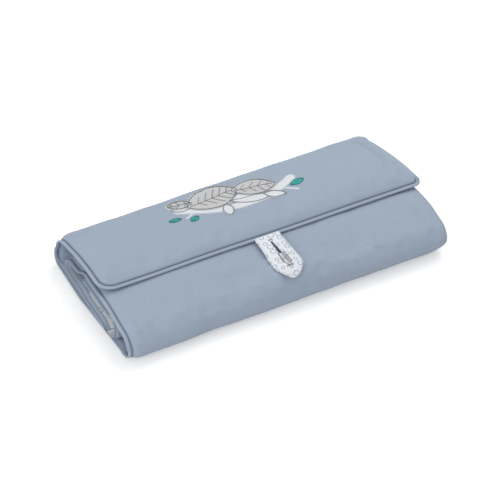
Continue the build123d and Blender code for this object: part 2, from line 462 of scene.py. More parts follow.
def mathNode(tree, operation, a, b=None, c=None, clamp=False):
    node = tree.nodes.new("ShaderNodeMath")
    node.operation = operation
    node.use_clamp = clamp
    for socket, value in zip(node.inputs, (a, b, c)):
        if value is None:
            continue
        if isinstance(value, (int, float)):
            socket.default_value = value
        else:
            tree.links.new(value, socket)
    return node.outputs[0]


def mixColour(tree, share, a, b):
    node = tree.nodes.new("ShaderNodeMix")
    node.data_type = "RGBA"
    for socket, value in ((node.inputs[0], share), (node.inputs[6], a), (node.inputs[7], b)):
        if isinstance(value, (int, float, tuple)):
            socket.default_value = value
        else:
            tree.links.new(value, socket)
    return node.outputs[2]


def noiseOn(tree, vector, scale, detail, distortion=0.0):
    node = tree.nodes.new("ShaderNodeTexNoise")
    node.inputs["Scale"].default_value = scale
    node.inputs["Detail"].default_value = detail
    node.inputs["Distortion"].default_value = distortion
    tree.links.new(vector, node.inputs["Vector"])
    return node.outputs[0]


def reliefInto(tree, shader, height, strength, distance):
    relief = tree.nodes.new("ShaderNodeBump")
    relief.inputs["Strength"].default_value = strength
    relief.inputs["Distance"].default_value = distance
    tree.links.new(height, relief.inputs["Height"])
    tree.links.new(relief.outputs[0], shader.inputs["Normal"])


def makeWeave():
    # plain weave on the cloth's own map, in metres: threads over and under each other
    group, start, end = shaderGroup(
        "clothWeave",
        [("Vector", "NodeSocketVector", None), ("Threads", "NodeSocketFloat", 2200.0),
         ("Colour", "NodeSocketColor", (0.5, 0.5, 0.5, 1)), ("Contrast", "NodeSocketFloat", 0.12),
         ("Mottle", "NodeSocketFloat", 0.05)],
        [("Colour", "NodeSocketColor"), ("Height", "NodeSocketFloat")],
    )
    links = group.links
    split = group.nodes.new("ShaderNodeSeparateXYZ")
    links.new(start.outputs["Vector"], split.inputs[0])
    turns = mathNode(group, "MULTIPLY", start.outputs["Threads"], math.pi)
    u = mathNode(group, "MULTIPLY", split.outputs[0], turns)
    v = mathNode(group, "MULTIPLY", split.outputs[1], turns)
    warp = mathNode(group, "ABSOLUTE", mathNode(group, "SINE", u))
    weft = mathNode(group, "ABSOLUTE", mathNode(group, "SINE", v))
    checkU = mathNode(group, "FLOOR", mathNode(group, "DIVIDE", u, math.pi))
    checkV = mathNode(group, "FLOOR", mathNode(group, "DIVIDE", v, math.pi))
    parity = mathNode(group, "PINGPONG", mathNode(group, "ADD", checkU, checkV), 1.0)
    over = mathNode(group, "MULTIPLY", warp, parity)
    under = mathNode(group, "MULTIPLY", weft, mathNode(group, "SUBTRACT", 1.0, parity))
    weave = mathNode(group, "ADD", over, under)
    stretch = group.nodes.new("ShaderNodeMapping")
    stretch.inputs["Scale"].default_value = (1.0, 0.12, 1.0)
    links.new(start.outputs["Vector"], stretch.inputs["Vector"])
    slub = noiseOn(group, stretch.outputs[0], 900.0, 2.0)
    slow = noiseOn(group, start.outputs["Vector"], 14.0, 3.0)
    height = mathNode(group, "ADD", weave, mathNode(group, "MULTIPLY", slub, 0.9))
    shade = mathNode(group, "MULTIPLY", mathNode(group, "SUBTRACT", weave, 0.64),
                     start.outputs["Contrast"])
    thread = mathNode(group, "MULTIPLY", mathNode(group, "SUBTRACT", slub, 0.5),
                      start.outputs["Contrast"])
    cloud = mathNode(group, "MULTIPLY", mathNode(group, "SUBTRACT", slow, 0.5),
                     start.outputs["Mottle"])
    factor = mathNode(group, "ADD", 1.0, mathNode(group, "ADD", shade,
                      mathNode(group, "ADD", thread, cloud)))
    scale = group.nodes.new("ShaderNodeVectorMath")
    scale.operation = "SCALE"
    links.new(start.outputs["Colour"], scale.inputs[0])
    links.new(factor, scale.inputs["Scale"])
    links.new(scale.outputs[0], end.inputs["Colour"])
    links.new(height, end.inputs["Height"])
    return group


def srgb(*values):
    # a colour written as it looks, 0 to 255, to the linear values that shaders use
    out = []
    for value in values:
        v = value / 255
        out.append(v / 12.92 if v <= 0.04045 else ((v + 0.055) / 1.055) ** 2.4)
    return (*out, 1.0)


def principled(name, roughness=0.85, sheen=0.0):
    material = bpy.data.materials.new(name)
    material.use_nodes = True
    shader = material.node_tree.nodes["Principled BSDF"]
    shader.inputs["Roughness"].default_value = roughness
    shader.inputs["Specular IOR Level"].default_value = 0.25
    if sheen:
        shader.inputs["Sheen Weight"].default_value = sheen
        shader.inputs["Sheen Roughness"].default_value = 0.5
    return material, material.node_tree, shader


def clothMap(tree):
    node = tree.nodes.new("ShaderNodeUVMap")
    node.uv_map = "cloth"
    return node.outputs[0]


def weaveInto(tree, shader, vector, colour, threads, contrast, mottle, bump):
    node = tree.nodes.new("ShaderNodeGroup")
    node.node_tree = weaveGroup
    tree.links.new(vector, node.inputs["Vector"])
    node.inputs["Threads"].default_value = threads
    node.inputs["Contrast"].default_value = contrast
    node.inputs["Mottle"].default_value = mottle
    if isinstance(colour, tuple):
        node.inputs["Colour"].default_value = colour
    else:
        tree.links.new(colour, node.inputs["Colour"])
    tree.links.new(node.outputs["Colour"], shader.inputs["Base Color"])
    reliefInto(tree, shader, node.outputs["Height"], bump, 0.00012)


def bubblePrint(tree, vector, ground, ink, size):
    # rings of mixed sizes, drawn in thin lines on a plain ground
    cells = tree.nodes.new("ShaderNodeTexVoronoi")
    cells.voronoi_dimensions = "2D"
    cells.inputs["Scale"].default_value = 1 / (size * mm)
    cells.inputs["Randomness"].default_value = 0.45
    tree.links.new(vector, cells.inputs["Vector"])
    tone = tree.nodes.new("ShaderNodeSeparateColor")
    tree.links.new(cells.outputs["Color"], tone.inputs[0])
    radius = mathNode(tree, "MULTIPLY_ADD", tone.outputs[0], 0.24, 0.17)
    offset = mathNode(tree, "ABSOLUTE", mathNode(tree, "SUBTRACT", cells.outputs["Distance"], radius))
    line = mathNode(tree, "SUBTRACT", 1.0, mathNode(tree, "DIVIDE", offset, 0.075), clamp=True)
    line = mathNode(tree, "MULTIPLY", line, 1.6, clamp=True)
    return mixColour(tree, line, ground, ink)


def makeCloth(name, look):
    material, tree, shader = principled(name, look["roughness"], look["sheen"])
    colour = look["colour"]
    vector = clothMap(tree)
    if "ink" in look:
        colour = bubblePrint(tree, vector, look["colour"], look["ink"], look["print"])
    # painted shade along the seams and rolled edges, from the attribute that stripPiece writes
    if "seamShade" in look:
        seam = tree.nodes.new("ShaderNodeAttribute")
        seam.attribute_name = "seam"
        share = mathNode(tree, "MULTIPLY", seam.outputs["Fac"], look["seamShade"])
        colour = mixColour(tree, share, look["colour"], look["seamColour"])
    weaveInto(tree, shader, vector, colour, look["threads"], look["contrast"], look["mottle"],
              look["bump"])
    return material


weaveGroup = makeWeave()
clothLooks = {
    # the outer cloth's seam colour is painted shade, mixed in along the seams
    "outerCloth": {"colour": srgb(160, 174, 191), "roughness": 0.8, "sheen": 0.08,
                   "seamShade": 0.85, "seamColour": srgb(78, 91, 106),
                   "threads": 2000.0, "contrast": 0.10, "mottle": 0.05, "bump": 0.35},
    "liningCloth": {"colour": srgb(232, 234, 236), "ink": srgb(170, 176, 182), "print": 13.0,
                    "roughness": 0.85, "sheen": 0.1, "threads": 2000.0, "contrast": 0.06,
                    "mottle": 0.03, "bump": 0.3},
    "loopCloth": {"colour": srgb(232, 236, 242), "ink": srgb(172, 178, 186), "print": 9.5,
                  "roughness": 0.85, "sheen": 0.1, "threads": 2000.0, "contrast": 0.06,
                  "mottle": 0.03, "bump": 0.3},
}
outerCloth, liningCloth, loopCloth = (makeCloth(n, look) for n, look in clothLooks.items())
print("materials made")


# The padded strip, in three pieces: the rolled body, the lower back bend and the flap
# with the upper back bend
cut = {"floorY": 60.0, "wallZ": (wallLow + wallHigh) / 2}

# about where the rolled body's folds start and end, in millimetres from its inner end
folds = {"frontTurn": 100, "frontTurnEnd": 124, "rearTurn": 266, "rearTurnEnd": 304,
         "frontFold": 454, "frontFoldEnd": 507}


def edgeTable(pairs, total):
    spots = [p[0] for p in pairs]
    values = [p[1] for p in pairs]
    return lambda along, points: np.interp(along / along[-1] if total else along, spots, values)


innerRadius = (innerUpperTop - innerLowerZ) / 2
rearRadius = (upperTop - innerLowerZ) / 2
frontRadius = upperTop / 2
bendRadius = backY - bendY
bodyRuns = [
    lineRun(innerEndY, innerUpperTop - half, noseY, innerUpperTop - half),
    turnRun(noseY, innerLowerZ + innerRadius, innerRadius, 90, 180),
    lineRun(noseY, innerLowerZ + half, rearY, innerLowerZ + half),
    turnRun(rearY, innerLowerZ + rearRadius, rearRadius, -90, 180),
    lineRun(rearY, upperTop - half, frontY, upperTop - half),
    turnRun(frontY, frontRadius, frontRadius, 90, 180),
    lineRun(frontY, half, cut["floorY"], half),
]
bendRuns = [
    lineRun(cut["floorY"], half, bendY, half),
    turnRun(bendY, wallLow, bendRadius, -90, 90),
    lineRun(backY - half, wallLow, backY - half, cut["wallZ"]),
]
flapRuns = [
    lineRun(backY - half, cut["wallZ"], backY - half, wallHigh),
    turnRun(bendY, wallHigh, bendRadius, 0, 90),
    lineRun(bendY, flapTop - half, flapFront, flapTop - half),
]

# Each pair is a place along a piece and the strip's edge there, in X
bodyEdges = {
    "left": [(0, -205), (88, -203), (104, -205), (124, -211), (190, -212), (266, -208), (304, -205),
             (340, -204), (454, -204.5), (480, -205), (507, -206), (600, -212), (646, -211)],
    "right": [(0, 199), (100, 199), (124, 200), (190, 201), (266, 199), (304, 197),
              (340, 198), (430, 203), (454, 202), (480, 199), (507, 199), (600, 202), (646, 202)],
}
bendEdges = {"left": [(0, -211), (0.5, -211), (1, -209.5)], "right": [(0, 202), (1, 195)]}


def bodyEdge(side):
    return edgeTable(bodyEdges[side], False)


def flapLeft(along, points):
    return np.interp(along, (0, 14, 34, 60), (-209.5, -207.5, -204, -202.5))


def flapRight(along, points):
    forward = np.clip((79 - points[:, 0]) / 93, 0, 1)
    onFlap = points[:, 1] > wallHigh + bendRadius * 0.6
    slant = 194.0 + 13.5 * forward ** 0.6
    wall = np.interp(along, (0, 28), (195, 193.0))
    return np.where(onFlap, slant, wall)


def faces(grid, bias, openNose):
    # bias moves a thin place towards the lining side, as where the pad lies on something.
    # openNose thins the lining side of the roll's front turn at the left end.
    full = half - 0.1
    thin = puff(grid["edge"], full, grid["plain"], grid["plainWidth"])
    middle = grid["mid"] - grid["normal"] * (bias * (full - thin) * (1 - 0.6 * grid["plain"]))[..., None]
    nose = openNose * smooth((grid["s"] - 78) / 22) * smooth((152 - grid["s"]) / 22)
    nose = nose * smooth((-158 - grid["mid"][..., 0]) / 40)
    inside = thin * (1 - 1.2 * nose)
    return middle + grid["normal"] * thin[..., None], middle - grid["normal"] * inside[..., None]


slump = {
    "backLeft": 0.19,    # share of its height that the stack loses at the back
    "backRight": 0.11,
    "backLean": 4.0,     # and how far its top leans forward there
    "front": 7.0,        # fall of the top towards the front fold
    "bulge": 5.0,        # the front fold spreads on the floor
    "cornerIn": 6.0,     # the lower front right corner is drawn in and back
    "cornerBack": 5.0,
}


def settle(p):
    # the stack sinks under its own weight, with slow waves in its height and outline
    x, y, z = p[..., 0], p[..., 1], p[..., 2]
    out = p.copy()
    side = smooth((x + 200) / 400)
    back = smooth((y - 5) / 85)
    sink = (slump["backLeft"] + (slump["backRight"] - slump["backLeft"]) * side) * back
    atButton = bell((x - buttonMid[0]) / 48)
    fall = slump["front"] * (1 - 0.9 * atButton) * smooth((-30 - y) / 52) * smooth((z - 14) / 26)
    out[..., 2] = z * (1 + 0.014 * ripples(x, y, 4, size=150.0)) * (1 - sink) - fall
    out[..., 1] = y + 0.8 * ripples(x, z * 3, 9, size=170.0) * np.clip(np.abs(y) / 100, 0, 1)
    out[..., 1] = out[..., 1] - slump["backLean"] * z / 50 * back
    spread = slump["bulge"] * (1 - 0.6 * side) * smooth((-58 - y) / 36) * smooth((30 - z) / 24)
    out[..., 1] = out[..., 1] - spread
    corner = smooth((x - 178) / 30) * smooth((18 - z) / 18) * smooth((-40 - y) / 50)
    out[..., 0] = out[..., 0] - slump["cornerIn"] * corner
    out[..., 1] = out[..., 1] + slump["cornerBack"] * corner
    return out


lay = {
    "noseBack": 13.0,     # how far the roll's front turn stays back at the left end
    "rearForward": 12.0,  # and how far its rear turn stays forward
    "rearPinch": 0.36,    # share of its height that the rear turn loses there
    "closeUp": 3.3,       # the rolled layers meet at their ends
    "upperDrop": 1.8,     # and the top layer lies down on them
    "mouth": 3.5,         # the roll's front turn opens at the left end
    "curl": 2.0,          # rise of the bottom layer's left edge
}


def layRoll(p, s):
    # the rolled layers' own lay at the two ends
    x, y, z = p[..., 0], p[..., 1], p[..., 2]
    leftEnd = smooth((-140 - x) / 60)
    bothEnds = np.maximum(leftEnd, 0.7 * smooth((x - 140) / 60))
    rolled = s < folds["frontFold"]
    inner = s < folds["rearTurn"]
    out = p.copy()
    back = lay["noseBack"] * leftEnd * smooth((-35 - y) / 40) * inner
    forward = lay["rearForward"] * leftEnd * smooth((y - 25) / 50) * rolled
    pinch = lay["rearPinch"] * leftEnd * smooth((y - 18) / 32) * (
        rolled & ((s > 200) | (s < folds["frontTurn"])))
    out[..., 1] = y + back - forward
    ahead = smooth((y + 62) / 25)
    tuck = np.where(s < folds["frontTurn"], -lay["closeUp"] * ahead, 0)
    rise = lay["closeUp"] * 0.8 * ahead * (1 - smooth((y - 25) / 40))
    tuck = tuck + np.where((s >= folds["frontTurnEnd"]) & inner, rise, 0)
    upperDrop = lay["upperDrop"] * smooth((y + 70) / 40)
    tuck = tuck - np.where((s > folds["rearTurnEnd"]) & rolled, upperDrop, 0)
    mouth = lay["mouth"] * smooth((-42 - y) / 16) * (s < 112)
    newZ = innerLowerZ + (z - innerLowerZ) * (1 - pinch) + tuck * bothEnds + mouth * leftEnd
    curl = lay["curl"] * smooth((-186 - x) / 24) * smooth((40 - y) / 40) * (s > folds["frontFoldEnd"])
    out[..., 2] = np.where(rolled, newZ, z + curl)
    return out


def buildStrip(name, runs, left, right, startFree, endFree, corners, base, bias, held, wrap,
               extra=None, innerRuns=()):
    grid = stripGrid(runs, left, right, startFree, endFree, corners, innerRuns)
    outer, inner = faces(grid, bias, 1.0 if extra else 0.0)
    if extra:
        outer, inner = extra(outer, grid["s"]), extra(inner, grid["s"])
    piece, facts = stripPiece(name, grid, settle(outer), settle(inner), startFree, endFree, base, wrap)
    pins = held(facts)
    if pins is not None:
        relaxCloth(piece, pins, cloth["cap"])
    wrinkle(piece, facts)
    return piece, facts


# How far the darker outer cloth reaches in over the lining: a turned-in edge all round, and where it
# reaches wider, across the gaps between the rolled layers and on the back wall and flap, it is painted
# shade
edgeWrapAndGapShade = {
    "folds": ((104, 132, 0.2), (200, 330, 15.0), (440, 540, 15.0)),    # from, to, width
    "body": 6.0,
    "wall": 22.0,
    "wallEnd": 80,
    "flap": 12.0,
}


def bodyWrap(s):
    for first, last, width in edgeWrapAndGapShade["folds"]:
        if first < s < last:
            return width
    return edgeWrapAndGapShade["body"]


def backWrap(s):
    return edgeWrapAndGapShade["wall"] if s < edgeWrapAndGapShade["wallEnd"] else edgeWrapAndGapShade["flap"]


def holdSeams(facts):
    return 1 - smooth((facts["edge"] - 5) / 8)


def holdBody(facts):
    away = np.maximum(smooth((436 - facts["s"]) / 24), smooth((facts["s"] - 455) / 60))
    away = np.maximum(away, facts["outward"] < 0)
    return np.maximum(holdSeams(facts), away)


def holdFlap(facts):
    return np.maximum(holdSeams(facts), smooth((30 - facts["s"]) / 20))


bodyLength = middleLine(bodyRuns)[2][-1]
bendLength = middleLine(bendRuns)[2][-1]
body, bodyFacts = buildStrip("rolledBody", bodyRuns, bodyEdge("left"), bodyEdge("right"),
                             True, False, (8.0, 8.0), 0.0, 0.0, holdBody, bodyWrap, layRoll,
                             ((-60, 300), (496, 760)))
bend, _ = buildStrip("lowerBackBend", bendRuns, edgeTable(bendEdges["left"], True),
                     edgeTable(bendEdges["right"], True), False, False, (8.0, 8.0),
                     bodyLength, 0.0, lambda facts: None, backWrap, None, ((-60, 40),))
flap, flapFacts = buildStrip("flapPad", flapRuns, flapLeft, flapRight, False, True, (20.0, 9.0),
                             bodyLength + bendLength, 0.62, holdFlap, backWrap)
print("padded strip built")

layers = ("outer_cloth", "wadding", "lining")
bodyParts = ("bottom", "front_fold", "upper", "rear_turn", "inner_lower", "front_turn", "inner_upper")
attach(body, "mat")
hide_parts(*[f"{part}_{layer}" for part in bodyParts for layer in layers])
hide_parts(*[f"lower_back_bend_{layer}" for layer in layers])
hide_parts(*[f"{part}_{layer}" for part in ("back_panel", "upper_back_bend", "flap")
                    for layer in layers])
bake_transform(bend)
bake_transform(flap)


# Stitches: one tree lays a stitch on every step of a path


def makeStitchTree():
    tree = bpy.data.node_groups.new("stitchRow", "GeometryNodeTree")
    face = tree.interface
    face.new_socket("Geometry", in_out="INPUT", socket_type="NodeSocketGeometry")
    for label, value in (("Pitch", 0.004), ("Length", 0.003), ("Thickness", 0.0006), ("Slant", 0.0)):
        face.new_socket(label, in_out="INPUT", socket_type="NodeSocketFloat").default_value = value
    face.new_socket("Seed", in_out="INPUT", socket_type="NodeSocketInt").default_value = 3
    face.new_socket("Material", in_out="INPUT", socket_type="NodeSocketMaterial")
    face.new_socket("Geometry", in_out="OUTPUT", socket_type="NodeSocketGeometry")
    nodes, links = tree.nodes, tree.links
    start, end = nodes.new("NodeGroupInput"), nodes.new("NodeGroupOutput")
    path = nodes.new("GeometryNodeMeshToCurve")
    links.new(start.outputs["Geometry"], path.inputs[0])
    points = nodes.new("GeometryNodeResampleCurve")
    points.mode = "LENGTH"
    links.new(path.outputs[0], points.inputs["Curve"])
    links.new(start.outputs["Pitch"], points.inputs["Length"])
    tangent = nodes.new("GeometryNodeInputTangent")
    align = nodes.new("FunctionNodeAlignRotationToVector")
    align.axis = "X"
    links.new(tangent.outputs[0], align.inputs["Vector"])
    spin = nodes.new("FunctionNodeRandomValue")
    spin.data_type = "FLOAT"
    links.new(mathNode(tree, "SUBTRACT", start.outputs["Slant"], 0.06), spin.inputs[2])
    links.new(mathNode(tree, "ADD", start.outputs["Slant"], 0.06), spin.inputs[3])
    links.new(start.outputs["Seed"], spin.inputs["Seed"])
    turn = nodes.new("FunctionNodeAxisAngleToRotation")
    turn.inputs["Axis"].default_value = (0, 0, 1)
    links.new(spin.outputs[1], turn.inputs["Angle"])
    rotate = nodes.new("FunctionNodeRotateRotation")
    links.new(align.outputs[0], rotate.inputs[0])
    links.new(turn.outputs[0], rotate.inputs[1])
    stitch = nodes.new("GeometryNodeMeshUVSphere")
    stitch.inputs["Segments"].default_value = 6
    stitch.inputs["Rings"].default_value = 5
    stitch.inputs["Radius"].default_value = 0.5
    size = nodes.new("ShaderNodeCombineXYZ")
    links.new(start.outputs["Length"], size.inputs[0])
    links.new(start.outputs["Thickness"], size.inputs[1])
    links.new(start.outputs["Thickness"], size.inputs[2])
    lie = nodes.new("GeometryNodeTransform")       # the sphere's poles go to the stitch's ends
    lie.inputs["Rotation"].default_value = (0, math.pi / 2, 0)
    links.new(stitch.outputs["Mesh"], lie.inputs["Geometry"])
    place = nodes.new("GeometryNodeInstanceOnPoints")
    links.new(points.outputs[0], place.inputs["Points"])
    links.new(lie.outputs[0], place.inputs["Instance"])
    links.new(rotate.outputs[0], place.inputs["Rotation"])
    links.new(size.outputs[0], place.inputs["Scale"])
    real = nodes.new("GeometryNodeRealizeInstances")
    links.new(place.outputs[0], real.inputs[0])
    paint = nodes.new("GeometryNodeSetMaterial")
    links.new(real.outputs[0], paint.inputs["Geometry"])
    links.new(start.outputs["Material"], paint.inputs["Material"])
    links.new(paint.outputs[0], end.inputs[0])
    return tree


stitchTree = makeStitchTree()


def sewRows(name, paths, look, material):
    # paths are lists of points in millimetres, each one row of stitches
    mesh = bpy.data.meshes.new(name + "Path")
    points, edges = [], []
    for path in paths:
        first = len(points)
        points += [tuple(np.asarray(p) * mm) for p in path]
        edges += [(first + i, first + i + 1) for i in range(len(path) - 1)]
    mesh.from_pydata(points, edges, [])
    source = bpy.data.objects.new(name + "Path", mesh)
    bpy.context.scene.collection.objects.link(source)
    modifier = source.modifiers.new("stitches", "NODES")
    modifier.node_group = stitchTree
    values = {"Pitch": look["pitch"] * mm, "Length": look["length"] * mm,
              "Thickness": look["thick"] * mm, "Slant": look.get("slant", 0.0), "Seed": 3,
              "Material": material}
    for item in stitchTree.interface.items_tree:
        if item.in_out == "INPUT" and item.name in values:
            modifier[item.identifier] = values[item.name]
    evaluated = source.evaluated_get(bpy.context.evaluated_depsgraph_get())
    result = bpy.data.meshes.new_from_object(evaluated)
    bpy.data.objects.remove(source)
    result.name = name
    result.polygons.foreach_set("use_smooth", [True] * len(result.polygons))
    piece = bpy.data.objects.new(name, result)
    bpy.context.scene.collection.objects.link(piece)
    return piece


def makeThread(name, colour, shine=0.45):
    # twisted thread: fine slanting ridges, with painted shade darkening the grooves between them
    material, tree, shader = principled(name, shine, 0.2)
    place = tree.nodes.new("ShaderNodeTexCoord").outputs["Object"]
    wave = tree.nodes.new("ShaderNodeTexWave")
    wave.bands_direction = "DIAGONAL"
    wave.inputs["Scale"].default_value = 900.0
    wave.inputs["Distortion"].default_value = 1.0
    tree.links.new(place, wave.inputs["Vector"])
    # painted shade: a darker copy of the thread's colour, laid in the grooves of the twist
    grooveShade = tuple(c * 0.72 for c in colour[:3]) + (1.0,)
    tree.links.new(mixColour(tree, wave.outputs["Fac"], grooveShade, colour), shader.inputs["Base Color"])
    reliefInto(tree, shader, wave.outputs["Fac"], 0.4, 0.0001)
    return material


seamThread = makeThread("seamThread", srgb(138, 152, 168))
outlineThread = makeThread("outlineThread", srgb(118, 120, 124))
paleThread = makeThread("paleThread", srgb(206, 210, 214))
greenThread = makeThread("greenThread", srgb(10, 110, 112))
seamLook = {"pitch": 3.9, "length": 3.1, "thick": 0.55, "sink": 0.05}


def seamPath(piece, facts):
    # the row of stitches on the outer cloth, down the left side and along the free end
    points = readPoints(piece.data)
    ids = facts["outerId"]
    rows, columns = ids.shape
    edge = facts["edge"][ids]
    middleRow = rows // 2
    column = int(np.argmin(np.abs(edge[middleRow, : columns // 2] - strip["rim"])))
    down = [ids[i, column] for i in range(rows)]
    if facts["endFree"]:
        row = rows - 1 - column
        down = [ids[i, column] for i in range(row)] + [ids[row, j] for j in range(column, columns - 12)]
    if facts["startFree"]:
        down = down[column:]
    return points[down] + readNormals(piece.data)[down] * (seamLook["thick"] / 2 - seamLook["sink"])


flapSeam = seamPath(flap, flapFacts)
flapSeam = flapSeam[flapSeam[:, 1] < bendY - 1]
for name, path, carrier in (("bodyStitches", seamPath(body, bodyFacts), "mat"),
                            ("flapStitches", flapSeam, "flap")):
    row = sewRows(name, [path], seamLook, seamThread)
    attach(row, carrier)
print("seams sewn")


# Patches sewn on the flap: a branch, twigs and leaves
patchHeights = {"branch": 0.45, "under": 0.65, "margin": 0.7, "leaf": 1.0, "pale": 1.15}
patchMesh = {
    "step": 2.4,
    "clear": 1.1,         # inner points keep this far from the outline
    "edgeShare": 0.72,    # share of its height that a patch has at its edge
    "sunk": 0.35,         # and how far its underside is pressed in
}
largeLeaves = ((-24, 61, 4, 66, 42), (27, 56, -14, 54, 30), (-62, 69, 160, 30, 16))
paleLeaves = ((-18, 30, -100, 24, 13), (43, 32, -28, 28, 12))
underLeaves = ((17, 41, -12, 54, 25), (-62, 62, 172, 26, 15))
smallLeaves = ((-79, 44, -12, 16, 8), (-59, 34, 24, 13, 9), (76, 40, 12, 20, 11))
branchRun = ((-68, 59), (2, 31), (74, 52))
twigRuns = (((-54, 45), (-66, 40)), ((58, 37), (71, 26)))
flapTree = BVHTree.FromPolygons(
    [v.co.copy() for v in flap.data.vertices], [tuple(p.vertices) for p in flap.data.polygons])


def onFlap(x, y):
    # the flap's surface under a place, in millimetres
    hit = flapTree.ray_cast(Vector((x * mm, y * mm, 0.2)), Vector((0, 0, -1)))[0]
    return hit.z / mm if hit else flapTop


def leafOutline(spot, grow=0.0, step=1.6):
    # two arcs that meet at the leaf's two points
    x, y, turn, length, width = spot
    length, width = length + 2.4 * grow, width + 2 * grow
    radius = (length ** 2 / 4 + width ** 2 / 4) / width
    reach = math.asin(min(1, length / 2 / radius))
    n = max(6, round(2 * reach * radius / step))
    sides = []
    for sign in (1, -1):
        for i in range(n):
            angle = reach * (1 - 2 * i / n)
            u = sign * radius * math.sin(angle)
            v = sign * (radius * math.cos(angle) - (radius - width / 2))
            sides.append((u, v))
    c, s = math.cos(math.radians(turn)), math.sin(math.radians(turn))
    return [(x + u * c - v * s, y + u * s + v * c) for u, v in sides[::-1]]


def bandOutline(points, width, step=2.0):
    # a band with round ends along a smooth line through the points
    p = np.array(points, float)
    if len(p) == 3:
        t = np.linspace(0, 1, 40)[:, None]
        mid = 2 * p[1] - (p[0] + p[2]) / 2
        line = (1 - t) ** 2 * p[0] + 2 * t * (1 - t) * mid + t ** 2 * p[2]
    else:
        line = np.linspace(p[0], p[1], 8)
    slope = np.gradient(line, axis=0)
    slope /= np.linalg.norm(slope, axis=1)[:, None]
    across = np.stack([-slope[:, 1], slope[:, 0]], -1) * width / 2
    right, left = line - across, line + across
    caps = []
    for tip, way in ((line[-1], slope[-1]), (line[0], -slope[0])):
        start = math.atan2(way[1], way[0]) - math.pi / 2
        angles = start + np.linspace(0.2, math.pi - 0.2, 7)
        caps.append(tip + width / 2 * np.stack([np.cos(angles), np.sin(angles)], -1))
    return [tuple(q) for q in np.concatenate([right, caps[0], left[::-1], caps[1]])]


def turnsLeft(outline):
    x, y = np.array(outline).T
    return np.dot(x, np.roll(y, -1)) > np.dot(y, np.roll(x, -1))


def patchPiece(name, outlines, height, material):
    # closed thin solids that lie on the flap
    points, faceRows = [], []
    for outline in outlines:
        if not turnsLeft(outline):
            outline = outline[::-1]
        x, y = np.array(outline).T
        grid = [(gx, gy) for gx in np.arange(x.min(), x.max(), patchMesh["step"])
                for gy in np.arange(y.min(), y.max(), patchMesh["step"])]
        within = [g for g in grid if insideBy(g, outline) > patchMesh["clear"]]
        flatPoints = [Vector(p) for p in list(outline) + within]
        ring = list(range(len(outline)))
        made = delaunay(flatPoints, [], [ring], 1, 1e-6)
        corner, triangles = made[0], made[2]
        edgeSet = boundaryEdges(triangles)
        onEdge = {a for a, b in edgeSet}
        first, n = len(points), len(corner)
        for k, p in enumerate(corner):
            lift = height * (patchMesh["edgeShare"] if k in onEdge else 1.0)
            points.append((p.x, p.y, onFlap(p.x, p.y) + lift))
        points += [(p.x, p.y, onFlap(p.x, p.y) - patchMesh["sunk"]) for p in corner]
        for a, b, c in triangles:
            faceRows.append((first + a, first + b, first + c))
            faceRows.append((first + n + c, first + n + b, first + n + a))
        for a, b in edgeSet:
            faceRows.append((first + b, first + a, first + n + a, first + n + b))
    piece = meshObject(name, points, faceRows, [material], np.array(points)[:, :2])
    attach(piece, "flap")
    return piece


def boundaryEdges(triangles):
    seen = set()
    for a, b, c in triangles:
        seen |= {(a, b), (b, c), (c, a)}
    return [(a, b) for a, b in seen if (b, a) not in seen]


def insideBy(place, outline):
    # how far a place is inside an outline, negative outside it
    p = np.array(place)
    a = np.array(outline)
    b = np.roll(a, -1, axis=0)
    ab = b - a
    t = np.clip(((p - a) * ab).sum(1) / np.maximum((ab ** 2).sum(1), 1e-9), 0, 1)
    away = np.linalg.norm(a + ab * t[:, None] - p, axis=1).min()
    crosses = (a[:, 1] > p[1]) != (b[:, 1] > p[1])
    where = a[:, 0] + (p[1] - a[:, 1]) / np.where(ab[:, 1] == 0, 1, ab[:, 1]) * ab[:, 0]
    odd = np.count_nonzero(crosses & (p[0] < where)) % 2
    return away if odd else -away


def onPatch(outline, height, inset):
    # a closed row a little inside an outline, on top of a patch
    p = np.array(outline)
    slope = np.roll(p, -1, axis=0) - np.roll(p, 1, axis=0)
    slope /= np.maximum(np.linalg.norm(slope, axis=1), 1e-9)[:, None]
    turn = np.stack([-slope[:, 1], slope[:, 0]], -1)
    sign = 1 if turnsLeft(outline) else -1
    q = p + turn * inset * sign
    row = [(a, b, onFlap(a, b) + height) for a, b in q]
    return row + row[:1]


def veinRows(spot, height, count):
    # a middle vein and pairs of side veins
    x, y, turn, length, width = spot
    c, s = math.cos(math.radians(turn)), math.sin(math.radians(turn))

    def place(u, v):
        a, b = x + u * c - v * s, y + u * s + v * c
        return (a, b, onFlap(a, b) + height)

    rows = [[place(length * t, 1.2 * math.sin(6 * t)) for t in np.linspace(-0.42, 0.40, 24)]]
    for k in range(count):
        u = length * (-0.28 + 0.56 * k / max(1, count - 1))
        reach = width / 2 * (1 - (2 * u / length) ** 2) * 0.72
        for sign in (1, -1):
            rows.append([place(u + 0.62 * reach * t, sign * reach * t * (1 - 0.12 * t))
                         for t in np.linspace(0.06, 1, 8)])
    return rows


def makeFelt(name, colour, fleck):
    material, tree, shader = principled(name, 0.9, 0.25)
    place = tree.nodes.new("ShaderNodeTexCoord").outputs["Object"]
    nap = noiseOn(tree, place, 1500.0, 4.0)
    tree.links.new(mixColour(tree, nap, fleck, colour), shader.inputs["Base Color"])
    reliefInto(tree, shader, nap, 0.5, 0.0002)
    return material


whiteFelt = makeFelt("whiteFelt", srgb(236, 240, 244), srgb(208, 213, 220))
greyFelt = makeFelt("greyFelt", srgb(212, 212, 213), srgb(184, 184, 186))
greenFelt = makeFelt("greenFelt", srgb(64, 188, 176), srgb(8, 136, 142))

